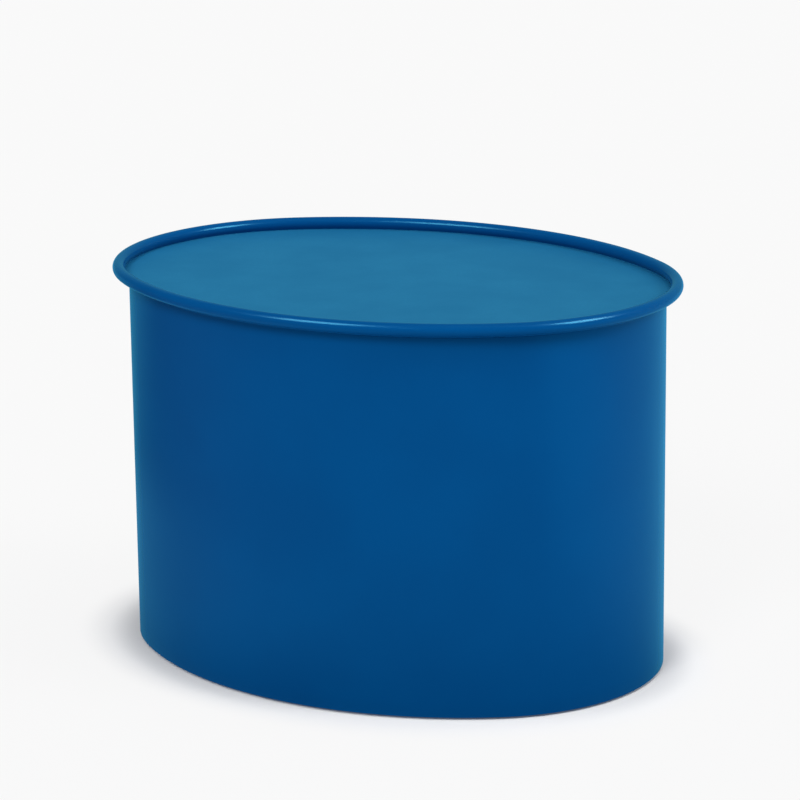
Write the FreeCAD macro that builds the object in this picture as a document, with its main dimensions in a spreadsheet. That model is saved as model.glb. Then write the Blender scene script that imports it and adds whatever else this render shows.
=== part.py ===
import FreeCAD, Part
import Sketcher
import math
import os

# Side table: an oval sheet-steel drum that stands on glides, with a tray for a top that lifts off.
# Millimetres, +Z up, origin on the ground below the middle, X along the oval, -Y the front.
# The oval has four arcs. Every sub-part follows the same four centres, at its own distance from the wall.

SIZES = {
    # Plan of the drum, outer face of the wall
    "end_centre": 94.0,
    "side_centre": 124.5,
    "end_radius": 166.0,
    # Drum
    "table_height": 360.0,
    "wall_sheet": 1.5,
    "wall_lift": 2.0,
    "weld_fit": 0.15,
    "hoop_sheet": 2.0,
    "ledge_width": 20.0,
    "panel_sheet": 1.5,
    "bumper_width": 12.0,
    "bumper_taper": 0.6,
    "bumper_height": 1.5,
    # Glides
    "glide_inset": 32.0,
    "glide_width": 24.0,
    "glide_taper": 2.0,
    "glide_height": 8.0,
    "glide_stem": 8.0,
    "stem_fit": 0.3,
    "barb_height": 4.0,
    "barb_step": 0.8,
    "barb_tip": 2.4,
    # Tray
    "tray_sheet": 1.5,
    "tray_flare": 3.0,
    "tray_depth": 11.6,
    "rim_overhang": 15.0,
    "bead_height": 11.2,
    "bead_spread": 0.4,
    "tab_sheet": 1.5,
    "tab_bend": 2.0,
    "tab_width": 30.0,
    "tab_foot": 20.0,
    "tab_drop": 16.0,
    "tab_play": 3.0,
    "rib_spacing": 220.0,
    "rib_sheet": 1.2,
    "rib_crown": 24.0,
    "rib_flange": 12.0,
    "rib_height": 12.0,
    "rib_play": 4.0,
}

SHEET = "Dimensions"


class Length:
    """A length worked out from the sheet: its value, and the expression that keeps it bound."""

    def __init__(self, text, value):
        self.text = text
        self.value = value

    def __add__(self, other):
        return Length(f"({self.text} + {other.text})", self.value + other.value)

    def __sub__(self, other):
        return Length(f"({self.text} - {other.text})", self.value - other.value)

    def __mul__(self, other):
        return Length(f"({self.text} * {other.text})", self.value * other.value)

    def __truediv__(self, other):
        return Length(f"({self.text} / {other.text})", self.value / other.value)

    def __neg__(self):
        return Length(f"(-1 * {self.text})", -self.value)

    def root(self):
        return Length(f"sqrt({self.text})", math.sqrt(self.value))

    def half(self):
        return Length(f"({self.text} / 2)", self.value / 2)


def size(name):
    return Length(f"{SHEET}.{name}", SIZES[name])


NOTHING = Length("0", 0.0)

document = FreeCAD.newDocument("side_table")
sheet = document.addObject("Spreadsheet::Sheet", SHEET)
for row, (alias, number) in enumerate(SIZES.items(), start=1):
    sheet.set(f"A{row}", alias)
    sheet.set(f"B{row}", str(number))
    sheet.setAlias(f"B{row}", alias)
document.recompute()

# The four centres, and the levels that the sub-parts share
end_centre = size("end_centre")
side_centre = size("side_centre")
centre_gap = (end_centre * end_centre + side_centre * side_centre).root()
end_of_wall = end_centre + size("end_radius")
side_of_wall = size("end_radius") + centre_gap - side_centre
inside_wall = size("wall_sheet") + size("weld_fit")
ledge_inset = inside_wall + size("ledge_width")
bead_tall = size("bead_height").half()
bead_wide = bead_tall + size("bead_spread").half()
bead_level = size("table_height") - bead_tall
tray_floor = size("table_height") - size("tray_depth")
tray_underside = tray_floor - size("tray_sheet")
wall_top = tray_underside - size("bumper_height")
panel_underside = size("glide_height")
panel_floor = panel_underside + size("panel_sheet")
stem_hole = size("glide_stem") + size("stem_fit") + size("stem_fit")
# Where the arcs of the oval meet, its outline faces this many degrees from X.
meet_angle = math.degrees(math.atan2(side_centre.value, end_centre.value))
meet_turn = Length(f"atan2({side_centre.text}; {end_centre.text})", meet_angle)


def new_body(label):
    body = document.addObject("PartDesign::Body", label)
    body.Label = label
    return body


def place(body, x, y, z, turn=NOTHING):
    base = FreeCAD.Vector(x.value, y.value, z.value)
    body.Placement = FreeCAD.Placement(base, FreeCAD.Rotation(FreeCAD.Vector(0, 0, 1), turn.value))
    for axis, length in (("x", x), ("y", y), ("z", z)):
        body.setExpression(f"Placement.Base.{axis}", length.text)
    if turn is not NOTHING:
        body.setExpression("Placement.Rotation.Angle", turn.text)


def new_sketch(body, name, role, level=NOTHING):
    sketch = body.newObject("Sketcher::SketchObject", name)
    plane = next(item for item in body.Origin.OriginFeatures if item.Role == role)
    sketch.AttachmentSupport = (plane, [""])
    sketch.MapMode = "FlatFace"
    sketch.setExpression("AttachmentOffset.Base.z", level.text)
    return sketch


def constrain(sketch, *parts):
    return sketch.addConstraint(Sketcher.Constraint(*parts))


def dimension(sketch, length, *parts):
    index = constrain(sketch, *parts, length.value)
    sketch.setExpression(f"Constraints[{index}]", length.text)


def locate(sketch, curve, point, x, y):
    """Ties a point of a curve to its distances from the origin."""
    for kind, axis, length in (("DistanceX", -2, x), ("DistanceY", -1, y)):
        if length is NOTHING:
            constrain(sketch, "PointOnObject", curve, point, axis)
        else:
            dimension(sketch, length, kind, -1, 1, curve, point)


def draw_oval(sketch, outset):
    """Four tangent arcs at a distance outside the wall, or inside it where that is negative."""
    radius = size("end_radius") + outset
    wide = radius + centre_gap
    join = math.atan2(side_centre.value, end_centre.value)
    right, top, left, bottom = range(sketch.GeometryCount, sketch.GeometryCount + 4)
    arcs = (
        (end_centre.value, 0, radius, -join, join),
        (0, -side_centre.value, wide, join, math.pi - join),
        (-end_centre.value, 0, radius, math.pi - join, math.pi + join),
        (0, side_centre.value, wide, math.pi + join, 2 * math.pi - join),
    )
    for x, y, arc_radius, start, end in arcs:
        circle = Part.Circle(FreeCAD.Vector(x, y, 0), FreeCAD.Vector(0, 0, 1), arc_radius.value)
        sketch.addGeometry(Part.ArcOfCircle(circle, start, end), False)
    for arc, axis in ((right, -1), (top, -2), (left, -1), (bottom, -2)):
        constrain(sketch, "Symmetric", arc, 1, arc, 2, axis)
    for arc, following in ((right, top), (top, left), (left, bottom)):
        constrain(sketch, "Tangent", arc, 2, following, 1)
    dimension(sketch, end_centre, "DistanceX", -1, 1, right, 3)
    dimension(sketch, side_centre, "DistanceY", top, 3, -1, 1)
    dimension(sketch, radius, "Radius", right)


def line_to(x, z):
    return (x, z, None, None, None)


def arc_to(x, z, centre, radius, turn):
    return (x, z, centre, (radius, radius), turn)


def oval_to(x, z, centre, wide, tall, turn):
    return (x, z, centre, (wide, tall), turn)


def draw_outline(sketch, edges):
    """A closed outline of lines and arcs. Each edge runs from the end of the one before it."""
    ends = []
    for index, (x, z, centre, radii, turn) in enumerate(edges):
        before = edges[index - 1]
        start = FreeCAD.Vector(before[0].value, before[1].value, 0)
        end = FreeCAD.Vector(x.value, z.value, 0)
        if centre is None:
            curve = sketch.addGeometry(Part.LineSegment(start, end), False)
            ends.append((curve, 1, 2))
            continue
        middle = FreeCAD.Vector(centre[0].value, centre[1].value, 0)
        wide, tall = radii
        angles = []
        for point in (start, end):
            angles.append(math.atan2((point.y - middle.y) / tall.value, (point.x - middle.x) / wide.value))
        if turn == "right":
            angles.reverse()
        if wide is tall:
            circle = Part.Circle(middle, FreeCAD.Vector(0, 0, 1), wide.value)
            curve = sketch.addGeometry(Part.ArcOfCircle(circle, *angles), False)
        else:
            right = middle + FreeCAD.Vector(wide.value, 0, 0)
            top = middle + FreeCAD.Vector(0, tall.value, 0)
            ellipse = Part.Ellipse(right, top, middle)
            curve = sketch.addGeometry(Part.ArcOfEllipse(ellipse, *angles), False)
            sketch.exposeInternalGeometry(curve)
        ends.append((curve, 1, 2) if turn == "left" else (curve, 2, 1))
    for (curve, first, last), (following, start, end) in zip(ends, ends[1:] + ends[:1]):
        constrain(sketch, "Coincident", curve, last, following, start)
    for (curve, first, last), (x, z, centre, radii, turn) in zip(ends, edges):
        locate(sketch, curve, last, x, z)
        if centre is None:
            continue
        wide, tall = radii
        if wide is tall:
            dimension(sketch, wide, "Radius", curve)
            continue
        # The two lines that follow an elliptical arc are its long and its short diameter.
        constrain(sketch, "Horizontal", curve + 1)
        dimension(sketch, wide + wide, "Distance", curve + 1)
        dimension(sketch, tall + tall, "Distance", curve + 2)


def draw_square(sketch, width, x, y):
    reach = width.half()
    draw_outline(sketch, [
        line_to(x - reach, y - reach),
        line_to(x + reach, y - reach),
        line_to(x + reach, y + reach),
        line_to(x - reach, y + reach),
    ])


def pad(body, sketch, length, both_ways=False):
    feature = body.newObject("PartDesign::Pad", sketch.Name + "_pad")
    feature.Profile = sketch
    feature.SideType = "Symmetric" if both_ways else "One side"
    feature.setExpression("Length", length.text)
    return feature


def taper_block(body, lower_width, upper_width, height, length):
    """A block about the origin and up from it, with two sloping sides."""
    profile = new_sketch(body, body.Name + "_profile", "XZ_Plane")
    draw_outline(profile, [
        line_to(-lower_width.half(), NOTHING),
        line_to(lower_width.half(), NOTHING),
        line_to(upper_width.half(), height),
        line_to(-upper_width.half(), height),
    ])
    return pad(body, profile, length, both_ways=True)


def sweep_round(body, section):
    """Carries a section, drawn at the right-hand end, round the oval of the wall."""
    path = new_sketch(body, body.Name + "_path", "XY_Plane")
    draw_oval(path, NOTHING)
    document.recompute()
    feature = body.newObject("PartDesign::AdditivePipe", section.Name + "_swept")
    feature.Profile = section
    feature.Spine = (path, ["Edge1", "Edge2", "Edge3", "Edge4"])
    return feature


def stations(inset):
    """Places round the oval at a distance inside the wall: two ends, four where arcs meet, two sides."""
    reach = size("end_radius") - inset
    end = end_centre + reach
    along = end_centre + reach * end_centre / centre_gap
    across = reach * side_centre / centre_gap
    side = side_of_wall - inset
    ends = [(end, NOTHING), (-end, NOTHING)]
    meets = [(along, across), (-along, across), (-along, -across), (along, -across)]
    sides = [(NOTHING, side), (NOTHING, -side)]
    return ends, meets, sides


def make_side_wall():
    body = new_body("side_wall")
    ring = new_sketch(body, "wall_ring", "XY_Plane", size("wall_lift"))
    draw_oval(ring, NOTHING)
    draw_oval(ring, -size("wall_sheet"))
    pad(body, ring, wall_top - size("wall_lift"))
    return body


def make_top_hoop():
    """A flat ring welded inside the upper edge of the wall. It is the ledge for the tray."""
    body = new_body("top_hoop")
    ring = new_sketch(body, "hoop_ring", "XY_Plane", wall_top - size("hoop_sheet"))
    draw_oval(ring, -inside_wall)
    draw_oval(ring, -ledge_inset)
    pad(body, ring, size("hoop_sheet"))
    return body


def make_floor_panel():
    """A plate welded inside the lower edge of the wall, with a hole for the stem of each glide."""
    body = new_body("floor_panel")
    plate = new_sketch(body, "panel_plate", "XY_Plane", panel_underside)
    draw_oval(plate, -inside_wall)
    ends, meets, sides = stations(size("glide_inset"))
    for x, y in ends + meets:
        draw_square(plate, stem_hole, x, y)
    pad(body, plate, size("panel_sheet"))
    return body


def make_foot_glide(label, x, y):
    """A push-in glide: a square foot, a stem through the panel and two barbs that snap in above it."""
    body = new_body(label)
    width = size("glide_width")
    taper = size("glide_taper")
    foot = size("glide_height")
    taper_block(body, width - taper - taper, width, foot, width)
    stem = size("glide_stem").half()
    barb = stem_hole.half() + size("barb_step")
    barb_level = panel_floor + size("stem_fit")
    tip = size("barb_tip")
    tip_level = barb_level + size("barb_height")
    post = new_sketch(body, label + "_post", "XZ_Plane")
    draw_outline(post, [
        line_to(-stem, foot),
        line_to(stem, foot),
        line_to(stem, barb_level),
        line_to(barb, barb_level),
        line_to(tip, tip_level),
        line_to(-tip, tip_level),
        line_to(-barb, barb_level),
        line_to(-stem, barb_level),
    ])
    pad(body, post, size("glide_stem"), both_ways=True)
    place(body, x, y, NOTHING)
    return body


def make_seat_bumper(label, x, y, turn):
    """A square pad stuck on the ledge. The tray rests on these."""
    body = new_body(label)
    width = size("bumper_width")
    taper = size("bumper_taper")
    taper_block(body, width, width - taper - taper, size("bumper_height"), width)
    place(body, x, y, wall_top, turn)
    return body


def make_tray_top():
    """A flat floor turned up at its edge and curled outwards into a hollow round rim."""
    body = new_body("tray_top")
    thickness = size("tray_sheet")
    bead = end_of_wall + size("rim_overhang") - bead_wide
    inner = bead - bead_wide
    outer = inner + thickness
    flat = inner - size("tray_flare")
    bead_centre = (bead, bead_level)
    # The curl stops at its lowest point, with its raw edge turned in.
    tip = bead_level - bead_tall
    floor = new_sketch(body, "tray_floor", "XY_Plane", tray_underside)
    draw_oval(floor, flat - end_of_wall)
    pad(body, floor, thickness)
    section = new_sketch(body, "rim_section", "XZ_Plane")
    draw_outline(section, [
        line_to(flat, tray_floor),
        line_to(inner, bead_level),
        oval_to(bead, tip, bead_centre, bead_wide, bead_tall, "right"),
        line_to(bead, tip + thickness),
        oval_to(outer, bead_level, bead_centre, bead_wide - thickness, bead_tall - thickness, "left"),
        line_to(flat, tray_underside),
    ])
    sweep_round(body, section)
    return body


def make_locating_tab(label, x, y, turn):
    """A bent tab. Its foot lies under the tray and its leg hangs just inside the ledge."""
    body = new_body(label)
    section = new_sketch(body, label + "_section", "XZ_Plane")
    thickness = size("tab_sheet")
    bend = size("tab_bend")
    top = size("tab_drop")
    corner = thickness + bend
    centre = (corner, top - corner)
    draw_outline(section, [
        line_to(NOTHING, NOTHING),
        line_to(thickness, NOTHING),
        line_to(thickness, top - corner),
        arc_to(corner, top - thickness, centre, bend, "right"),
        line_to(size("tab_foot"), top - thickness),
        line_to(size("tab_foot"), top),
        line_to(corner, top),
        arc_to(NOTHING, top - corner, centre, corner, "left"),
    ])
    pad(body, section, size("tab_width"), both_ways=True)
    place(body, x, y, tray_underside - top, turn)
    return body


def make_tray_rib(label, side):
    """A hat-section rib across the tray, with its flanges against the underside of the floor."""
    body = new_body(label)
    section = new_sketch(body, label + "_section", "XZ_Plane")
    thickness = size("rib_sheet")
    flange = size("rib_flange")
    crown = flange + size("rib_crown")
    width = crown + flange
    top = size("rib_height")
    draw_outline(section, [
        line_to(NOTHING, top - thickness),
        line_to(flange, top - thickness),
        line_to(flange, NOTHING),
        line_to(crown, NOTHING),
        line_to(crown, top - thickness),
        line_to(width, top - thickness),
        line_to(width, top),
        line_to(crown - thickness, top),
        line_to(crown - thickness, thickness),
        line_to(flange + thickness, thickness),
        line_to(flange + thickness, top),
        line_to(NOTHING, top),
    ])
    # The outer corners of the rib stay inside the ledge, which curves in towards the ends.
    corner = size("rib_spacing").half() + width.half()
    ledge_radius = size("end_radius") + centre_gap - ledge_inset
    reach = (ledge_radius * ledge_radius - corner * corner).root() - side_centre - size("rib_play")
    pad(body, section, reach + reach, both_ways=True)
    place(body, side * size("rib_spacing").half() - width.half(), NOTHING, tray_underside - top)
    return body


bodies = [make_side_wall(), make_top_hoop(), make_floor_panel()]

ends, meets, sides = stations(size("glide_inset"))
for number, (x, y) in enumerate(ends + meets, start=1):
    bodies.append(make_foot_glide(f"foot_glide_{number}", x, y))

ends, meets, sides = stations(inside_wall + size("ledge_width").half())
bumper_turns = [NOTHING, NOTHING, meet_turn, -meet_turn, meet_turn, -meet_turn, NOTHING, NOTHING]
for number, (x, y) in enumerate(ends + meets + sides, start=1):
    bodies.append(make_seat_bumper(f"seat_bumper_{number}", x, y, bumper_turns[number - 1]))

bodies.append(make_tray_top())

ends, meets, sides = stations(ledge_inset + size("tab_play"))
for side, (x, y), degrees in (
    ("right", ends[0], 180),
    ("left", ends[1], 0),
    ("back", sides[0], 270),
    ("front", sides[1], 90),
):
    turn = Length(f"{degrees} deg", degrees)
    bodies.append(make_locating_tab(f"locating_tab_{side}", x, y, turn))

for side, sign in (("left", Length("-1", -1)), ("right", Length("1", 1))):
    bodies.append(make_tray_rib(f"tray_rib_{side}", sign))

document.recompute()

for item in document.Objects:
    if "Invalid" in item.State or "Error" in item.State:
        raise RuntimeError(f"{item.Label} did not rebuild: {item.State}")
for body in bodies:
    if body.Shape.isNull() or not body.Shape.isValid() or len(body.Shape.Solids) != 1:
        raise RuntimeError(f"{body.Label} is not one valid solid")

os.makedirs("parts", exist_ok=True)
for body in bodies:
    body.Shape.exportStep(f"parts/{body.Label}.step")
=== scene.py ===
import math

import bmesh
import bpy
from bpy.props import FloatProperty, FloatVectorProperty, IntProperty, PointerProperty
from mathutils import Euler, Matrix, Vector


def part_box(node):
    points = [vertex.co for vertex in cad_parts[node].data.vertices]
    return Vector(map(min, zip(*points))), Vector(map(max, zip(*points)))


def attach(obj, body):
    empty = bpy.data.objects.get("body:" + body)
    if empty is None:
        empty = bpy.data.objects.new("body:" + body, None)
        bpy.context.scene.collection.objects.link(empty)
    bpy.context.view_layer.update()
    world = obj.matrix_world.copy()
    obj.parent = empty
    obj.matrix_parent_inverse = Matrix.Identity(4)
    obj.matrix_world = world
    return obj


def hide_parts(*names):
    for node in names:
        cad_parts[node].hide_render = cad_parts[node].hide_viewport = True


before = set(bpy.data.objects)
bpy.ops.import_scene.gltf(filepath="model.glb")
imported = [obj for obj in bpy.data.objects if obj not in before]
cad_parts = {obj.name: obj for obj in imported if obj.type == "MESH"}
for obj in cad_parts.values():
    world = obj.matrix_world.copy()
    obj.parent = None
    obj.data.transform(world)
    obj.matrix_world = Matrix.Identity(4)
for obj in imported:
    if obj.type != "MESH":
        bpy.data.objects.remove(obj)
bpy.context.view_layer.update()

bl_info = {
    "name": "Side table, oval drum with a tray top",
    "version": (1, 0, 0),
    "blender": (4, 5, 0),
    "location": "3D View > Sidebar > Side table",
    "description": "Models and finishes the painted steel side table around its packed frame",
    "category": "Object",
}

WALL_LOW, WALL_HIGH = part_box("side_wall")
_, TRAY_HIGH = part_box("tray_top")
GLIDES = [f"foot_glide_{number}" for number in range(1, 7)]
BUMPERS = [f"seat_bumper_{number}" for number in range(1, 9)]
TABS = [f"locating_tab_{side}" for side in ("left", "right", "front", "back")]
RIBS = ["tray_rib_left", "tray_rib_right"]
# The pads where the arcs of the oval meet are turned to follow the ledge. The others lie square.
MEET_BUMPERS = {"seat_bumper_3": 1, "seat_bumper_4": -1, "seat_bumper_5": 1, "seat_bumper_6": -1}

# Slacks, in metres: for one and the same place, for points to merge, and for the floor of the tray
SAME_PLACE = 0.00001
MERGE_DISTANCE = 0.00002
FLOOR_SLACK = 0.0002
# Steps of a rounded edge, of the bend at the foot of the tray's side, and of a pad's upright corner
EDGE_SEGMENTS = 3
BEND_SEGMENTS = 8
CORNER_SEGMENTS = 6

SOFT_BOXES = (
    dict(name="left_box", turn=-54.0, rise=43.0, width=0.8, power=25.0),
    dict(name="right_box", turn=66.0, rise=40.0, width=0.8, power=32.0),
)
SUNS = (
    dict(name="top_light", turn=40.0, rise=72.0, spread=50.0, power=0.8),
    dict(name="left_soft", turn=-25.0, rise=38.0, spread=22.0, power=1.45),
    dict(name="right_soft", turn=70.0, rise=38.0, spread=22.0, power=0.8),
    dict(name="right_fill", turn=110.0, rise=8.0, spread=40.0, power=0.65),
)
GROUND_SIZE = 60.0
GROUND_DROP = 0.0002
SENSOR_WIDTH = 36.0
VIEW_END = 200.0
BLACK = (0.0, 0.0, 0.0, 1.0)

# Places on the ground, counted from the middle of the table, with the wall at 1
AT_WALL = 1.0
STRIP_END = 1.09
PAINTED_SHADOW_END = 1.14
SHADE_END = 1.27
BOUNCE_FULL = 2.3
GLOW_FULL, GLOW_END = 2.2, 3.4
# Sides of the studio, as turns from straight behind the table to the right
LEFT_END, RIGHT_END, BACK_RIGHT = (math.radians(turn) for turn in (-90.0, 90.0, 60.0))
# Where a side begins and where it is full: along the ground in metres, and along a direction in the sky
END_FADE = (0.05, 0.35)
BACK_FADE = (0.0, 0.4)
GROUND_FADE = (-0.3, 0.45)
SKY_FADE = (0.2, 0.95)
# Shares of the ground's light: beside the wall, in the strip along it and more on the left, then of the edge glow
NEAR_BOUNCE = 0.15
STRIP_BOUNCE = 0.4
LEFT_BOUNCE = 0.3
LEFT_GLOW = 0.5
BACK_GLOW = 0.8


def length(name, description, default):
    return FloatProperty(name=name, description=description, default=default, unit="LENGTH", precision=5)


def degrees(name, description, default):
    return FloatProperty(name=name, description=description, default=math.radians(default), subtype="ANGLE")


def share(name, description, default):
    return FloatProperty(name=name, description=description, default=default, min=0.0, max=1.0, subtype="FACTOR")


def factor(name, description, default):
    return FloatProperty(name=name, description=description, default=default, min=0.0)


def colour(name, description, default):
    return FloatVectorProperty(
        name=name, description=description, default=default, size=3, min=0.0, max=1.0, subtype="COLOR"
    )


class SIDETABLE_PG_sizes(bpy.types.PropertyGroup):
    """Sizes of the modelled pieces, in metres"""

    end_centre: length("End centre", "From the middle to the centre of each end arc", 0.094)
    side_centre: length("Side centre", "From the middle to the centre of each side arc", 0.1245)
    end_radius: length("End radius", "Radius of the outer face of the wall at its ends", 0.166)
    sheet: length("Sheet", "Thickness of the wall and of the tray", 0.0015)
    wall_edge: length("Wall edge", "Rounding of the cut edges of the wall under the paint", 0.0005)
    wall_rows: IntProperty(name="Wall rows", description="Rows of faces up the wall", default=24, min=2)
    bead_wide: length("Rim half width", "Half the width of the curled rim", 0.0058)
    bead_tall: length("Rim half height", "Half the height of the curled rim", 0.0056)
    tray_depth: length("Tray depth", "From the top of the rim down to the floor of the tray", 0.0116)
    neck_turn: degrees("Neck turn", "How far the curl is drawn in under itself above the floor of the tray", 37.5)
    bend_share: share("Bend share", "Part of the tray's side that the bend at its foot takes up", 0.25)
    floor_ring: length("Floor ring", "Width of the ring of faces round the floor of the tray", 0.02)
    lip_edge: length("Lip edge", "Rounding of the raw edge of the curl", 0.00045)
    glide_edge: length("Glide edge", "Rounding of the edges of a glide", 0.0011)
    glide_taper: length("Glide taper", "How much narrower the sole of a glide is than its top", 0.004)
    glide_stem: length("Glide stem", "Width of the stem of a glide", 0.008)
    glide_barb: length("Glide barb", "Width across the two barbs of a glide", 0.0102)
    glide_tip: length("Glide tip", "Width of the tip of a glide's stem", 0.0048)
    barb_play: length("Barb play", "From the floor panel up to the barbs", 0.0003)
    bumper_edge: length("Bumper edge", "Rounding of the edges of a pad", 0.00055)
    bumper_taper: length("Bumper taper", "How much narrower a pad is at its top", 0.0012)
    bumper_corner: length("Bumper corner", "Rounding of the upright corners of a pad", 0.0025)
    arc_step: degrees("Arc step", "Turn between two sections of the oval", 1.5)
    rim_segments: IntProperty(name="Rim segments", description="Edges round the curl", default=48, min=16)


class SIDETABLE_PG_finish(bpy.types.PropertyGroup):
    """Colours and gloss of the finishes"""

    paint: colour("Paint", "Blue of the powder coat", (0.0003, 0.070, 0.248))
    paint_deep: colour("Deep paint", "Blue of the powder coat where it lies thicker", (0.0002, 0.064, 0.233))
    paint_gloss: colour("Paint gloss", "Tint of what the paint reflects straight on", (0.13, 0.76, 1.0))
    paint_shine: share("Paint shine", "Strength of what the paint reflects", 0.4)
    paint_roughness: share("Paint roughness", "Roughness of the powder coat", 0.22)
    peel_depth: length("Peel depth", "Depth of the dimples in the powder coat", 0.00003)
    peel_strength: share("Peel strength", "How far the dimples turn the light", 0.35)
    # The floor of the tray is paler than the wall's paint because light from above and a reflection of the backdrop
    # are painted into its two tones. The drift between them is random mottling.
    tray_painted_light: colour("Faded paint", "Blue of the floor of the tray, which has faded a little", (0.0144, 0.167, 0.35))
    tray_painted_light_deep: colour("Fresher paint", "Blue of that floor where it has faded less", (0.0116, 0.148, 0.321))
    tray_patches: factor("Tray patches", "Patches of faded paint to a metre", 18.0)
    tray_pits: share("Tray pits", "How much fresher the paint is on the bumps between its dimples", 0.6)
    tray_roughness: share("Tray roughness", "Roughness of the floor of the tray", 0.4)
    tray_shine: share("Tray shine", "Strength of what the floor of the tray reflects", 0.12)
    rub: colour("Rub marks", "Faint marks on the floor of the tray", (0.02, 0.13, 0.30))
    rub_amount: share("Rub amount", "Strength of the rub marks", 0.22)
    weld_flat: length("Weld flat", "Half the width of the top of the dressed weld", 0.0004)
    weld_foot: length("Weld foot", "Half the width of the dressed weld at its foot", 0.003)
    weld_rise: factor("Weld rise", "Height of the dressed weld, in depths of a dimple", 6.0)
    silicone: colour("Silicone", "Frosted pads on the ledge", (0.62, 0.66, 0.68))
    nylon: colour("Nylon", "Moulded glides", (0.016, 0.016, 0.018))


class SIDETABLE_PG_stage(bpy.types.PropertyGroup):
    """Floor, light and camera"""

    ground: colour("Ground", "Colour of the floor", (0.945, 0.945, 0.945))
    ground_lit: share("Ground lit", "How far the lamps and the sky light the open floor", 1.0)
    # The floor glows with this painted light towards the table, whatever the lamps do
    ground_bounce: factor("Ground bounce", "Light that the floor throws back on the table", 0.9)
    ground_shade: share("Ground shade", "How much of the lamps' light the floor takes close by", 0.95)
    far_shade: share("Far shade", "How much of the lamps' light the floor takes further off", 0.08)
    # A shadow painted into the floor's colour, close to both ends of the table
    contact_shade: share("Contact shade", "How much darker the floor is close to the ends of the table", 0.3)
    ground_mirror: colour("Ground mirror", "What the paint mirrors of the floor", (0.004, 0.04, 0.06))
    ground_glow: colour("Ground glow", "What the paint mirrors of the floor on its bright side", (0.05, 0.36, 0.54))
    ground_side: degrees("Ground side", "Where the floor is brightest, from behind the table to the right", 36.0)
    edge_glow: colour("Edge glow", "What the paint mirrors of the floor beside and behind it", (0.1, 0.54, 0.88))
    sky: share("Sky", "Light from all round", 0.34)
    backdrop: colour("Backdrop", "What the paint mirrors of the bright backdrop", (0.073, 0.335, 0.39))
    backdrop_dark: colour("Dark backdrop", "What the paint mirrors away from the backdrop", (0.004, 0.12, 0.18))
    backdrop_side: degrees("Backdrop side", "Where the backdrop is brightest, from behind to the right", 20.0)
    box_distance: length("Box distance", "From the rim to the soft boxes", 1.9)
    view_turn: degrees("View turn", "Camera's turn round the table", 32.813)
    view_pitch: degrees("View pitch", "How far the camera looks down", 14.809)
    view_roll: degrees("View roll", "Lean of the camera", -0.648)
    view_aim: degrees("View aim", "How far the camera looks past the middle", 0.088)
    view_distance: length("View distance", "From the middle of the table, along the ground", 3.03)
    view_height: length("View height", "Height of the camera", 1.0351)
    lens: FloatProperty(name="Lens", description="Focal length for a 36 mm frame", default=153.0, unit="CAMERA")


def sizes():
    return bpy.context.scene.side_table_sizes


def finish():
    return bpy.context.scene.side_table_finish


def stage():
    return bpy.context.scene.side_table_stage


# Modelling helpers


def clear_selection():
    if bpy.context.object is not None and bpy.context.object.mode != "OBJECT":
        bpy.ops.object.mode_set(mode="OBJECT")
    bpy.ops.object.select_all(action="DESELECT")


def start_piece(name):
    """Names the primitive that was just added and puts its place into its mesh."""
    piece = bpy.context.active_object
    piece.name = name
    piece.data.name = name
    bpy.ops.object.transform_apply(location=True, rotation=True, scale=True)
    return piece


def start_block(name, width, height):
    """A block with a square foot, which stands on the origin. It is left in edit mode."""
    clear_selection()
    bpy.ops.mesh.primitive_cube_add(size=1.0, location=(0, 0, height / 2))
    bpy.context.active_object.scale = (width, width, height)
    piece = start_piece(name)
    bpy.ops.object.mode_set(mode="EDIT")
    return piece


def pick(piece, wanted):
    """Selects the points for which wanted is true, and only those. The piece is in edit mode."""
    bpy.ops.mesh.select_mode(type="VERT")
    mesh = bmesh.from_edit_mesh(piece.data)
    for part in (mesh.verts, mesh.edges, mesh.faces):
        for item in part:
            item.select_set(False)
    for point in mesh.verts:
        if wanted(point.co):
            point.select_set(True)
    mesh.select_flush(True)
    bmesh.update_edit_mesh(piece.data)


def near(value, target, slack=SAME_PLACE):
    return abs(value - target) < slack


def extrude_points(x, y, z):
    bpy.ops.mesh.extrude_region_move(TRANSFORM_OT_translate={"value": (x, y, z)})


def scale_along_x(scale, level):
    """Scales what is picked along X only, about the upright line through the origin."""
    bpy.ops.transform.resize(value=(scale, 1, 1), center_override=(0, 0, level))


def face_outwards():
    bpy.ops.mesh.select_all(action="SELECT")
    bpy.ops.mesh.normals_make_consistent(inside=False)


def spin_oval():
    """Carries a section, drawn at the right-hand end, once round the four arcs of the oval."""
    s = sizes()
    half_end = math.atan2(s.side_centre, s.end_centre)
    side = math.pi - 2 * half_end
    turns = (
        (half_end, (s.end_centre, 0, 0)),
        (side, (0, -s.side_centre, 0)),
        (2 * half_end, (-s.end_centre, 0, 0)),
        (side, (0, s.side_centre, 0)),
        (half_end, (s.end_centre, 0, 0)),
    )
    bpy.ops.mesh.select_all(action="SELECT")
    for angle, centre in turns:
        steps = max(2, round(angle / s.arc_step))
        bpy.ops.mesh.spin(steps=steps, angle=angle, center=centre, axis=(0, 0, -1), dupli=False)
    bpy.ops.mesh.select_all(action="SELECT")
    bpy.ops.mesh.remove_doubles(threshold=MERGE_DISTANCE)
    face_outwards()


def on_oval(point, reach):
    """True where a point lies no further out than the oval that ends at x = reach."""
    s = sizes()
    end = Vector((abs(point.x) - s.end_centre, abs(point.y)))
    side = Vector((abs(point.x), abs(point.y) + s.side_centre))
    in_end = end.x > 0 and end.y * s.end_centre < end.x * s.side_centre
    outset = reach - s.end_centre - s.end_radius
    if in_end:
        return end.length <= s.end_radius + outset
    return side.length <= s.end_radius + math.hypot(s.end_centre, s.side_centre) + outset


def apply_modifier(piece, kind, **settings):
    modifier = piece.modifiers.new(kind.title(), kind)
    for name, value in settings.items():
        setattr(modifier, name, value)
    bpy.ops.object.modifier_apply(modifier=modifier.name)


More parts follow.
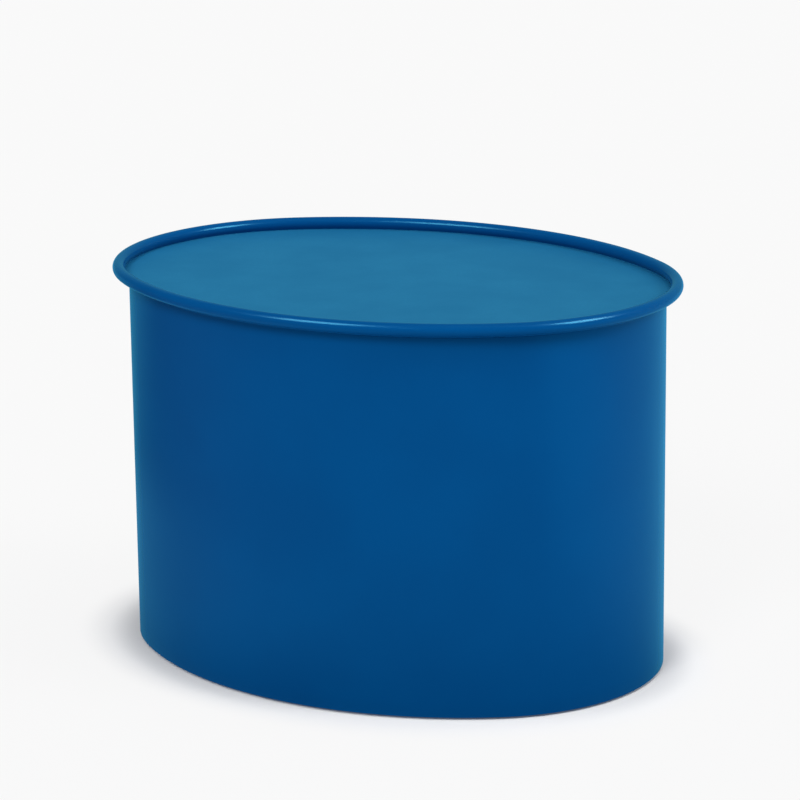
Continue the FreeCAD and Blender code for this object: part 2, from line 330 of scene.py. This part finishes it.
def thicken(piece, thickness):
    apply_modifier(piece, "SOLIDIFY", thickness=thickness, offset=-1.0, use_even_offset=True)


def round_edges(piece, width, angle):
    """Rounds the edges that turn by more than the angle, in degrees."""
    apply_modifier(
        piece,
        "BEVEL",
        width=width,
        segments=EDGE_SEGMENTS,
        limit_method="ANGLE",
        angle_limit=math.radians(angle),
        use_clamp_overlap=True,
        harden_normals=False,
    )


def make_active(piece):
    clear_selection()
    piece.select_set(True)
    bpy.context.view_layer.objects.active = piece


def smooth(piece, angle):
    make_active(piece)
    bpy.ops.object.shade_smooth_by_angle(angle=math.radians(angle))


def settle(piece, body, slot, material, *nodes):
    """Gives a finished piece its paint, its body and the nodes that it stands for."""
    piece.data.materials.clear()
    piece.data.materials.append(material)
    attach(piece, body)
    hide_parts(*nodes)


def copy_piece(master, name, place, turn, node, slot, material):
    """A copy of a drum piece with its own mesh, its place in the mesh."""
    make_active(master)
    bpy.ops.object.duplicate(linked=False)
    piece = bpy.context.active_object
    piece.location = place
    piece.rotation_euler = Euler((0, 0, turn))
    start_piece(name)
    smooth(piece, angle=40.0)
    settle(piece, "drum", slot, material, node)


def middle_of(node, level):
    """The middle of a node, seen from above, at this level."""
    low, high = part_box(node)
    return Vector(((low.x + high.x) / 2, (low.y + high.y) / 2, level))


# Materials

FLOAT, COLOUR = "NodeSocketFloat", "NodeSocketColor"


def node_of(tree, kind, **settings):
    node = tree.nodes.new(kind)
    for name, value in settings.items():
        setattr(node, name, value)
    return node


def feed(tree, source, target):
    """Links a socket to an input, or sets the input to a plain number or colour."""
    if isinstance(source, (int, float, tuple)):
        target.default_value = source
    else:
        tree.links.new(source, target)


def new_group(name, inputs, outputs):
    """An empty shader group with float or colour sockets."""
    group = bpy.data.node_groups.new(name, "ShaderNodeTree")
    for label, kind, default in inputs:
        socket = group.interface.new_socket(label, in_out="INPUT", socket_type=kind)
        socket.default_value = default
    for label, kind in outputs:
        group.interface.new_socket(label, in_out="OUTPUT", socket_type=kind)
    return group, node_of(group, "NodeGroupInput"), node_of(group, "NodeGroupOutput")


def arithmetic(tree, operation, first, second=0.0):
    node = node_of(tree, "ShaderNodeMath", operation=operation)
    feed(tree, first, node.inputs[0])
    feed(tree, second, node.inputs[1])
    return node.outputs[0]


def add(tree, first, second):
    return arithmetic(tree, "ADD", first, second)


def multiply(tree, first, second):
    return arithmetic(tree, "MULTIPLY", first, second)


def one_minus(tree, value):
    return arithmetic(tree, "SUBTRACT", 1.0, value)


def larger(tree, first, second):
    return arithmetic(tree, "MAXIMUM", first, second)


def place_on(tree, place="Object"):
    return node_of(tree, "ShaderNodeTexCoord").outputs[place]


def noise(tree, vector, scale, detail):
    node = node_of(tree, "ShaderNodeTexNoise")
    feed(tree, vector, node.inputs["Vector"])
    feed(tree, scale, node.inputs["Scale"])
    feed(tree, detail, node.inputs["Detail"])
    return node.outputs["Fac"]


def ramp(tree, value, low, high):
    """0 below low, 1 above high, smooth between."""
    node = node_of(tree, "ShaderNodeMapRange", interpolation_type="SMOOTHSTEP")
    feed(tree, value, node.inputs["Value"])
    feed(tree, low, node.inputs["From Min"])
    feed(tree, high, node.inputs["From Max"])
    return node.outputs["Result"]


def mix(tree, amount, first, second):
    """A blend of two colours, each from a socket or plain."""
    node = node_of(tree, "ShaderNodeMix", data_type="RGBA")
    start, end = (socket for socket in node.inputs if socket.type == "RGBA")
    feed(tree, amount, node.inputs[0])
    feed(tree, first, start)
    feed(tree, second, end)
    return next(socket for socket in node.outputs if socket.type == "RGBA")


def make_orange_peel():
    """The skin of a sprayed and baked powder: soft dimples with finer pitting on them."""
    group, inside, out = new_group(
        "orange_peel",
        [("Dimples", FLOAT, 420.0), ("Pits", FLOAT, 1500.0), ("Pit Share", FLOAT, 0.3)],
        [("Height", FLOAT)],
    )
    place = place_on(group)
    dimples = noise(group, place, inside.outputs["Dimples"], detail=1.0)
    pits = noise(group, place, inside.outputs["Pits"], detail=2.0)
    fine = multiply(group, pits, inside.outputs["Pit Share"])
    feed(group, add(group, dimples, fine), out.inputs["Height"])
    return group


def make_coat_tone():
    """Slow drift of the paint between its thin and its thick tone, and of its gloss."""
    group, inside, out = new_group(
        "coat_tone",
        [
            ("Thin", COLOUR, (0.0, 0.1, 0.3, 1.0)),
            ("Thick", COLOUR, (0.0, 0.1, 0.3, 1.0)),
            ("Patches", FLOAT, 9.0),
            ("Roughness", FLOAT, 0.4),
            ("Drift", FLOAT, 0.08),
        ],
        [("Color", COLOUR), ("Roughness", FLOAT)],
    )
    patches = noise(group, place_on(group), inside.outputs["Patches"], detail=3.0)
    mask = ramp(group, patches, low=0.3, high=0.7)
    feed(group, mix(group, mask, inside.outputs["Thin"], inside.outputs["Thick"]), out.inputs["Color"])
    centred = arithmetic(group, "SUBTRACT", patches, 0.5)
    swing = multiply(group, centred, inside.outputs["Drift"])
    feed(group, add(group, inside.outputs["Roughness"], swing), out.inputs["Roughness"])
    return group


def make_rub_marks():
    """Faint short rubs and specks where things are set down and slid about."""
    group, inside, out = new_group("rub_marks", [("Amount", FLOAT, 0.2)], [("Mask", FLOAT)])
    place = place_on(group)
    stretch = node_of(group, "ShaderNodeMapping")
    feed(group, (0.0, 0.0, 0.5), stretch.inputs["Rotation"])
    feed(group, (22.0, 190.0, 1.0), stretch.inputs["Scale"])
    feed(group, place, stretch.inputs["Vector"])
    streaks = ramp(group, noise(group, stretch.outputs["Vector"], scale=1.0, detail=2.0), low=0.66, high=0.74)
    specks = ramp(group, noise(group, place, scale=330.0, detail=1.0), low=0.74, high=0.8)
    where = ramp(group, noise(group, place, scale=14.0, detail=2.0), low=0.5, high=0.68)
    both = larger(group, multiply(group, streaks, where), specks)
    feed(group, multiply(group, both, inside.outputs["Amount"]), out.inputs["Mask"])
    return group


EFFECTS = {"orange_peel": make_orange_peel, "coat_tone": make_coat_tone, "rub_marks": make_rub_marks}


def effect(tree, name, values=None):
    """Places an effect, which is built the first time, with its own values."""
    node = node_of(tree, "ShaderNodeGroup")
    node.node_tree = bpy.data.node_groups.get(name) or EFFECTS[name]()
    for label, value in (values or {}).items():
        feed(tree, value, node.inputs[label])
    return node.outputs


def new_material(name):
    material = bpy.data.materials.new(name)
    material.use_nodes = True
    tree = material.node_tree
    shader = next(node for node in tree.nodes if node.type == "BSDF_PRINCIPLED")
    return material, tree, shader


def bump(tree, shader, height, distance, strength):
    node = node_of(tree, "ShaderNodeBump")
    feed(tree, distance, node.inputs["Distance"])
    feed(tree, strength, node.inputs["Strength"])
    feed(tree, height, node.inputs["Height"])
    feed(tree, node.outputs["Normal"], shader.inputs["Normal"])


def opaque(rgb):
    return (*rgb, 1.0)


def coated(name, roughness, shine, tones):
    """A material with the powder coat's gloss, and the colour and height that it has so far."""
    material, tree, shader = new_material(name)
    tone = effect(tree, "coat_tone", {"Roughness": roughness, **tones})
    feed(tree, tone["Roughness"], shader.inputs["Roughness"])
    feed(tree, shine, shader.inputs["Specular IOR Level"])
    feed(tree, opaque(finish().paint_gloss), shader.inputs["Specular Tint"])
    return material, tree, shader, tone["Color"], effect(tree, "orange_peel")["Height"]


def paint(name, seam=False):
    """Satin blue powder coat. The wall has a dressed weld at its back."""
    f = finish()
    tones = {"Thin": opaque(f.paint), "Thick": opaque(f.paint_deep)}
    material, tree, shader, base, height = coated(name, f.paint_roughness, f.paint_shine, tones)
    feed(tree, base, shader.inputs["Base Color"])
    if seam:
        # The dressed weld is a low ridge down the middle of the back.
        spot = node_of(tree, "ShaderNodeSeparateXYZ")
        feed(tree, place_on(tree), spot.inputs["Vector"])
        off_line = arithmetic(tree, "ABSOLUTE", spot.outputs["X"])
        ridge = one_minus(tree, ramp(tree, off_line, f.weld_flat, f.weld_foot))
        back = arithmetic(tree, "GREATER_THAN", spot.outputs["Y"])
        height = add(tree, height, multiply(tree, multiply(tree, ridge, back), f.weld_rise))
    bump(tree, shader, height, f.peel_depth, f.peel_strength)
    return material


def floor_paint_with_painted_light():
    """The same coat on the floor of the tray, painted paler for light from above and a reflection of the backdrop,
    duller and mottled, with faint rubs.
    """
    f = finish()
    tones = {"Thin": opaque(f.tray_painted_light), "Thick": opaque(f.tray_painted_light_deep), "Patches": f.tray_patches}
    material, tree, shader, base, height = coated("tray_floor_painted_light", f.tray_roughness, f.tray_shine, tones)
    fresher = multiply(tree, ramp(tree, height, low=0.5, high=0.8), f.tray_pits)
    base = mix(tree, fresher, base, opaque(f.tray_painted_light_deep))
    marks = effect(tree, "rub_marks", {"Amount": f.rub_amount})
    feed(tree, mix(tree, marks["Mask"], base, opaque(f.rub)), shader.inputs["Base Color"])
    bump(tree, shader, height, f.peel_depth, f.peel_strength)
    return material


def moulded(name, rgb, cloud, tones, texture, depth, strength):
    """A plastic with a cloudy tone, whose clouds are the colour times cloud, and the texture of its mould."""
    material, tree, shader = new_material(name)
    cloudy = opaque(cloud * part for part in rgb)
    tone = effect(tree, "coat_tone", {"Thin": opaque(rgb), "Thick": cloudy, **tones})
    feed(tree, tone["Color"], shader.inputs["Base Color"])
    feed(tree, tone["Roughness"], shader.inputs["Roughness"])
    bump(tree, shader, effect(tree, "orange_peel", texture)["Height"], depth, strength)
    return material, tree, shader


def frosted_silicone():
    material, tree, shader = moulded(
        "frosted_silicone",
        finish().silicone,
        cloud=0.86,
        tones={"Patches": 160.0, "Roughness": 0.55, "Drift": 0.2},
        texture={"Dimples": 2600.0, "Pits": 6000.0},
        depth=0.00003,
        strength=0.5,
    )
    feed(tree, 0.25, shader.inputs["Subsurface Weight"])
    feed(tree, (0.002, 0.002, 0.002), shader.inputs["Subsurface Radius"])
    return material


def moulded_nylon():
    material, _, _ = moulded(
        "moulded_nylon",
        finish().nylon,
        cloud=1.9,
        tones={"Patches": 220.0, "Roughness": 0.5, "Drift": 0.25},
        texture={"Dimples": 1800.0, "Pits": 5200.0, "Pit Share": 0.6},
        depth=0.00004,
        strength=0.6,
    )
    return material


# Pieces


class SIDETABLE_OT_tray(bpy.types.Operator):
    """Models the tray: an open curl, drawn down into the side and the floor, and spun round the oval"""

    bl_idname = "side_table.tray"
    bl_label = "Tray"

    def execute(self, context):
        s = sizes()
        bead_x = TRAY_HIGH.x - s.bead_wide
        bead_z = TRAY_HIGH.z - s.bead_tall
        floor_z = TRAY_HIGH.z - s.tray_depth
        # The curl is drawn in under itself on the inside, and its raw edge ends at its lowest point.
        neck_x = bead_x - s.bead_wide * math.cos(s.neck_turn)
        neck_z = bead_z - s.bead_tall * math.sin(s.neck_turn)
        corner_x = neck_x + (neck_z - floor_z) * math.tan(s.neck_turn)
        clear_selection()
        bpy.ops.mesh.primitive_circle_add(
            vertices=s.rim_segments, radius=1.0, location=(bead_x, 0, bead_z), rotation=(math.pi / 2, 0, 0)
        )
        bpy.context.active_object.scale = (s.bead_wide, s.bead_tall, 1.0)
        piece = start_piece("tray_pan")
        bpy.ops.object.mode_set(mode="EDIT")
        pick(piece, lambda p: p.x < bead_x - MERGE_DISTANCE and p.z < neck_z - MERGE_DISTANCE)
        bpy.ops.mesh.delete(type="VERT")
        pick(piece, lambda p: near(p.x, neck_x) and near(p.z, neck_z))
        extrude_points(corner_x - neck_x, 0, floor_z - neck_z)
        extrude_points(-s.floor_ring, 0, 0)
        pick(piece, lambda p: near(p.x, corner_x) and near(p.z, floor_z))
        bend = s.bend_share * math.hypot(corner_x - neck_x, floor_z - neck_z)
        bpy.ops.mesh.bevel(offset=bend, offset_type="OFFSET", segments=BEND_SEGMENTS, affect="VERTICES")
        spin_oval()
        # The floor closes the inner ring, which is the only open edge at its level.
        reach = corner_x - s.floor_ring + FLOOR_SLACK
        pick(piece, lambda p: near(p.z, floor_z) and on_oval(p, reach))
        bpy.ops.mesh.edge_face_add()
        face_outwards()
        bpy.ops.object.mode_set(mode="OBJECT")
        thicken(piece, s.sheet)
        round_edges(piece, s.lip_edge, angle=60.0)
        smooth(piece, angle=35.0)
        settle(piece, "tray", "blue_steel", paint("tray_paint"), "tray_top")
        # Only the floor lies at this level: the curl ends above it and the underside lies a sheet lower.
        mesh = piece.data
        # The floor gets the paler copy of the paint, with light from above and a reflection of the backdrop painted
        # into it.
        mesh.materials.append(floor_paint_with_painted_light())
        for face in mesh.polygons:
            if all(near(mesh.vertices[index].co.z, floor_z, FLOOR_SLACK) for index in face.vertices):
                face.material_index = 1
        return {"FINISHED"}


class SIDETABLE_OT_wall(bpy.types.Operator):
    """Models the wall of the drum: one upright edge spun round the oval, thickened, with eased cut edges"""

    bl_idname = "side_table.wall"
    bl_label = "Wall"

    def execute(self, context):
        s = sizes()
        wall_x = s.end_centre + s.end_radius
        low, high = WALL_LOW.z, WALL_HIGH.z
        # Of a plane one metre wide, which ends at the wall, only that end is kept.
        centre_x = wall_x - 0.5
        clear_selection()
        bpy.ops.mesh.primitive_plane_add(
            size=1.0, location=(centre_x, 0, (low + high) / 2), rotation=(math.pi / 2, 0, 0)
        )
        bpy.context.active_object.scale = (1.0, high - low, 1.0)
        piece = start_piece("drum_wall")
        bpy.ops.object.mode_set(mode="EDIT")
        pick(piece, lambda p: p.x < centre_x)
        bpy.ops.mesh.delete(type="VERT")
        bpy.ops.mesh.select_all(action="SELECT")
        bpy.ops.mesh.subdivide(number_cuts=s.wall_rows - 1)
        spin_oval()
        bpy.ops.object.mode_set(mode="OBJECT")
        thicken(piece, s.sheet)
        round_edges(piece, s.wall_edge, angle=60.0)
        smooth(piece, angle=35.0)
        settle(piece, "drum", "blue_steel", paint("wall_paint", seam=True), "side_wall")
        return {"FINISHED"}


class SIDETABLE_OT_glides(bpy.types.Operator):
    """Models one push-in glide from a cube and copies it to each of the six places"""

    bl_idname = "side_table.glides"
    bl_label = "Glides"

    def execute(self, context):
        s = sizes()
        low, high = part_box(GLIDES[0])
        panel_low, panel_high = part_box("floor_panel")
        width = high.x - low.x
        foot = panel_low.z
        shoulder = panel_high.z + s.barb_play
        master = start_block("glide_master", width, foot)
        # The sole is narrower than the top along X.
        pick(master, lambda p: p.z < foot / 2)
        scale_along_x((width - s.glide_taper) / width, 0)
        # The stem rises from the middle of the top and ends in two barbs.
        pick(master, lambda p: p.z > foot / 2)
        bpy.ops.mesh.inset(thickness=(width - s.glide_stem) / 2)
        extrude_points(0, 0, shoulder - foot)
        pick(master, lambda p: near(p.z, shoulder))
        bpy.ops.mesh.extrude_region_move()
        scale_along_x(s.glide_barb / s.glide_stem, shoulder)
        extrude_points(0, 0, high.z - shoulder)
        scale_along_x(s.glide_tip / s.glide_barb, high.z)
        face_outwards()
        bpy.ops.object.mode_set(mode="OBJECT")
        round_edges(master, s.glide_edge, angle=30.0)
        material = moulded_nylon()
        for node in GLIDES:
            name = node.replace("foot_glide", "glide")
            copy_piece(master, name, middle_of(node, 0), 0.0, node, "nylon", material)
        bpy.data.objects.remove(master)
        return {"FINISHED"}


class SIDETABLE_OT_bumpers(bpy.types.Operator):
    """Models one frosted pad from a cube and copies it to each of its eight places on the ledge"""

    bl_idname = "side_table.bumpers"
    bl_label = "Bumpers"

    def execute(self, context):
        s = sizes()
        low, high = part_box(BUMPERS[0])
        width, height = high.x - low.x, high.z - low.z
        master = start_block("bumper_master", width, height)
        pick(master, lambda p: p.z > height / 2)
        scale_along_x((width - s.bumper_taper) / width, height)
        mesh = bmesh.from_edit_mesh(master.data)
        bpy.ops.mesh.select_mode(type="EDGE")
        bpy.ops.mesh.select_all(action="DESELECT")
        for edge in mesh.edges:
            upright = abs(edge.verts[0].co.z - edge.verts[1].co.z) > height / 2
            edge.select_set(upright)
        bmesh.update_edit_mesh(master.data)
        bpy.ops.mesh.bevel(offset=s.bumper_corner, segments=CORNER_SEGMENTS, affect="EDGES")
        bpy.ops.object.mode_set(mode="OBJECT")
        round_edges(master, s.bumper_edge, angle=50.0)
        material = frosted_silicone()
        meet_turn = math.atan2(s.side_centre, s.end_centre)
        for node in BUMPERS:
            name = node.replace("seat_bumper", "bumper")
            turn = meet_turn * MEET_BUMPERS.get(node, 0)
            copy_piece(master, name, middle_of(node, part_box(node)[0].z), turn, node, "silicone", material)
        bpy.data.objects.remove(master)
        return {"FINISHED"}


class SIDETABLE_OT_steelwork(bpy.types.Operator):
    """Paints the ledge, the floor panel, the tabs and the ribs, whose solids are shown as they are"""

    bl_idname = "side_table.steelwork"
    bl_label = "Steelwork"

    def execute(self, context):
        material = paint("steelwork_paint")
        for name in ["top_hoop", "floor_panel"] + TABS + RIBS:
            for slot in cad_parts[name].material_slots:
                slot.material = material
        return {"FINISHED"}


# Stage


def bright_side(tree, place, side, low, high):
    """1 on one side of the studio and 0 on the other. The side is a turn from straight behind the table."""
    along = node_of(tree, "ShaderNodeVectorMath", operation="DOT_PRODUCT")
    heading = stage().view_turn - side
    feed(tree, place_on(tree, place), along.inputs[0])
    feed(tree, (-math.sin(heading), math.cos(heading), 0.0), along.inputs[1])
    return ramp(tree, along.outputs["Value"], low, high)


def ray_kinds(tree):
    """Sockets that are 1 for what the camera sees, also through a clear surface, and for what the paint mirrors."""
    kinds = node_of(tree, "ShaderNodeLightPath").outputs
    return larger(tree, kinds["Is Camera Ray"], kinds["Is Transmission Ray"]), kinds["Is Glossy Ray"]


def ground_material():
    """A pale floor that takes the table's shadow and looks plain, while the table gets a studio's light from it."""
    g = stage()
    material, tree, shader = new_material("ground_pale")
    direct, glossy = ray_kinds(tree)
    spot = node_of(tree, "ShaderNodeMapping")
    feed(tree, (1 / WALL_HIGH.x, 1 / WALL_HIGH.y, 1.0), spot.inputs["Scale"])
    feed(tree, place_on(tree), spot.inputs["Vector"])
    distance = node_of(tree, "ShaderNodeVectorMath", operation="LENGTH")
    feed(tree, spot.outputs["Vector"], distance.inputs[0])
    away = distance.outputs["Value"]
    left = bright_side(tree, "Object", LEFT_END, *END_FADE)
    right = bright_side(tree, "Object", RIGHT_END, *END_FADE)
    # Close to the table the floor takes its shadow. Further off it is nearly plain.
    plain = ramp(tree, away, AT_WALL, SHADE_END)
    lost = multiply(tree, plain, g.ground_shade - g.far_shade)
    shade = arithmetic(tree, "SUBTRACT", g.ground_shade, lost)
    # A shadow is also painted into the floor's colour, deepest close to both ends of the table.
    painted_shadow = one_minus(tree, ramp(tree, away, AT_WALL, PAINTED_SHADOW_END))
    painted_shadow = multiply(tree, painted_shadow, larger(tree, left, right))
    kept_by_painted_shadow = one_minus(tree, multiply(tree, painted_shadow, g.contact_shade))
    taken = multiply(tree, multiply(tree, direct, shade), kept_by_painted_shadow)
    feed(tree, mix(tree, taken, BLACK, opaque(g.ground)), shader.inputs["Base Color"])
    # The floor glows towards the table with a painted light that stands in for light it throws back: less close by,
    # apart from a strip along the wall, and more on the left.
    far = ramp(tree, away, AT_WALL, BOUNCE_FULL)
    level = add(tree, multiply(tree, far, 1.0 - NEAR_BOUNCE), NEAR_BOUNCE)
    strip = one_minus(tree, ramp(tree, away, AT_WALL, STRIP_END))
    level = add(tree, level, multiply(tree, strip, STRIP_BOUNCE))
    level = multiply(tree, level, add(tree, 1.0, multiply(tree, left, LEFT_BOUNCE)))
    floor_glow = mix(tree, level, BLACK, opaque([g.ground_bounce] * 3))
    # The paint mirrors little of the floor, and most of it behind on the right and close by on the left.
    behind = bright_side(tree, "Object", g.ground_side, *GROUND_FADE)
    mirrored = mix(tree, behind, opaque(g.ground_mirror), opaque(g.ground_glow))
    close = one_minus(tree, ramp(tree, away, GLOW_FULL, GLOW_END))
    low_left = multiply(tree, multiply(tree, left, close), LEFT_GLOW)
    back_right = multiply(tree, bright_side(tree, "Object", BACK_RIGHT, *BACK_FADE), BACK_GLOW)
    mirrored = mix(tree, larger(tree, low_left, back_right), mirrored, opaque(g.edge_glow))
    indirect = mix(tree, glossy, floor_glow, mirrored)
    # To the camera the floor's own light makes up for what it doesn't take of the lamps' light, darkened by the
    # painted shadow.
    unlit = one_minus(tree, multiply(tree, shade, g.ground_lit))
    own = mix(tree, multiply(tree, unlit, kept_by_painted_shadow), BLACK, opaque(g.ground))
    feed(tree, mix(tree, direct, indirect, own), shader.inputs["Emission Color"])
    feed(tree, 1.0, shader.inputs["Emission Strength"])
    feed(tree, 0.9, shader.inputs["Roughness"])
    feed(tree, 0.0, shader.inputs["Specular IOR Level"])
    # From below the floor is clear, so that the underside of the table can be looked at.
    clear = node_of(tree, "ShaderNodeBsdfTransparent")
    either = node_of(tree, "ShaderNodeMixShader")
    feed(tree, node_of(tree, "ShaderNodeNewGeometry").outputs["Backfacing"], either.inputs[0])
    feed(tree, shader.outputs["BSDF"], either.inputs[1])
    feed(tree, clear.outputs["BSDF"], either.inputs[2])
    surface = next(node for node in tree.nodes if node.type == "OUTPUT_MATERIAL")
    feed(tree, either.outputs["Shader"], surface.inputs["Surface"])
    # The floor's light depends on the kind of ray, so it is only met by rays that come from the paint.
    material.cycles.emission_sampling = "NONE"
    return material


class SIDETABLE_OT_stage(bpy.types.Operator):
    """Lays the floor, sets the light and stands the camera"""

    bl_idname = "side_table.stage"
    bl_label = "Stage"

    def execute(self, context):
        self.lay_floor()
        self.set_sky()
        for box in SOFT_BOXES:
            self.hang_box(**box)
        for sun in SUNS:
            self.hang_sun(**sun)
        self.stand_camera()
        return {"FINISHED"}

    def lay_floor(self):
        clear_selection()
        bpy.ops.mesh.primitive_plane_add(size=GROUND_SIZE, location=(0, 0, -GROUND_DROP))
        ground = bpy.context.active_object
        ground.name = "ground"
        ground.data.materials.append(ground_material())

    def set_sky(self):
        g = stage()
        world = bpy.data.worlds.new("studio")
        bpy.context.scene.world = world
        world.use_nodes = True
        world.cycles.sampling_method = "NONE"
        tree = world.node_tree
        back = next(node for node in tree.nodes if node.type == "BACKGROUND")
        direct, glossy = ray_kinds(tree)
        behind = bright_side(tree, "Generated", g.backdrop_side, *SKY_FADE)
        mirrored = mix(tree, behind, opaque(g.backdrop_dark), opaque(g.backdrop))
        indirect = mix(tree, glossy, opaque([g.sky] * 3), mirrored)
        feed(tree, mix(tree, direct, indirect, opaque(g.ground)), back.inputs["Color"])

    def hang_box(self, name, turn, rise, width, power):
        """A square soft box that only draws a highlight."""
        light = bpy.data.lights.new(name, "AREA")
        light.shape = "SQUARE"
        light.size = width
        self.place_light(name, light, turn, rise, power).visible_diffuse = False

    def hang_sun(self, name, turn, rise, spread, power):
        """A light too far away to fall off, which the paint does not mirror."""
        light = bpy.data.lights.new(name, "SUN")
        light.angle = math.radians(spread)
        self.place_light(name, light, turn, rise, power).visible_glossy = False

    def place_light(self, name, light, turn, rise, power):
        """Hangs a light by its turn from the camera's side to the right and its rise, both in degrees."""
        light.energy = power
        holder = bpy.data.objects.new(name, light)
        bpy.context.scene.collection.objects.link(holder)
        heading = stage().view_turn + math.radians(turn)
        height = math.radians(rise)
        level = math.cos(height)
        toward = Vector((math.sin(heading) * level, -math.cos(heading) * level, math.sin(height)))
        holder.location = stage().box_distance * toward + Vector((0, 0, TRAY_HIGH.z))
        holder.rotation_euler = (-toward).to_track_quat("-Z", "Y").to_euler()
        return holder

    def stand_camera(self):
        g = stage()
        data = bpy.data.cameras.new("camera")
        data.sensor_width = SENSOR_WIDTH
        data.lens = g.lens
        data.clip_end = VIEW_END
        camera = bpy.data.objects.new("camera", data)
        bpy.context.scene.collection.objects.link(camera)
        at = Vector((math.sin(g.view_turn), -math.cos(g.view_turn), 0)) * g.view_distance
        at.z = g.view_height
        heading = g.view_turn - g.view_aim
        forward = Vector((-math.sin(heading), math.cos(heading), 0)) * math.cos(g.view_pitch)
        forward.z = -math.sin(g.view_pitch)
        turn = forward.to_track_quat("-Z", "Y").to_matrix() @ Matrix.Rotation(g.view_roll, 3, "Z")
        camera.matrix_world = Matrix.Translation(at) @ turn.to_4x4()
        bpy.context.scene.camera = camera
        bpy.context.scene.view_settings.view_transform = "Standard"


class SIDETABLE_PT_sidebar(bpy.types.Panel):
    """Lists the sizes, the finishes, the stage and the steps"""

    bl_idname = "SIDETABLE_PT_sidebar"
    bl_label = "Side table"
    bl_space_type = "VIEW_3D"
    bl_region_type = "UI"
    bl_category = "Side table"

    def draw(self, context):
        for group in (sizes(), finish(), stage()):
            box = self.layout.box()
            for name in group.__annotations__:
                box.prop(group, name)
        for step in STEPS:
            self.layout.operator(step.bl_idname)


STEPS = (
    SIDETABLE_OT_tray,
    SIDETABLE_OT_wall,
    SIDETABLE_OT_glides,
    SIDETABLE_OT_bumpers,
    SIDETABLE_OT_steelwork,
    SIDETABLE_OT_stage,
)
GROUPS = (SIDETABLE_PG_sizes, SIDETABLE_PG_finish, SIDETABLE_PG_stage)


def register():
    for kind in GROUPS + STEPS + (SIDETABLE_PT_sidebar,):
        bpy.utils.register_class(kind)
    bpy.types.Scene.side_table_sizes = PointerProperty(type=SIDETABLE_PG_sizes)
    bpy.types.Scene.side_table_finish = PointerProperty(type=SIDETABLE_PG_finish)
    bpy.types.Scene.side_table_stage = PointerProperty(type=SIDETABLE_PG_stage)


def unregister():
    del bpy.types.Scene.side_table_stage
    del bpy.types.Scene.side_table_finish
    del bpy.types.Scene.side_table_sizes
    for kind in reversed(GROUPS + STEPS + (SIDETABLE_PT_sidebar,)):
        bpy.utils.unregister_class(kind)


def main():
    register()
    bpy.ops.side_table.tray()
    bpy.ops.side_table.wall()
    bpy.ops.side_table.glides()
    bpy.ops.side_table.bumpers()
    bpy.ops.side_table.steelwork()
    bpy.ops.side_table.stage()


if __name__ == "__main__":
    main()
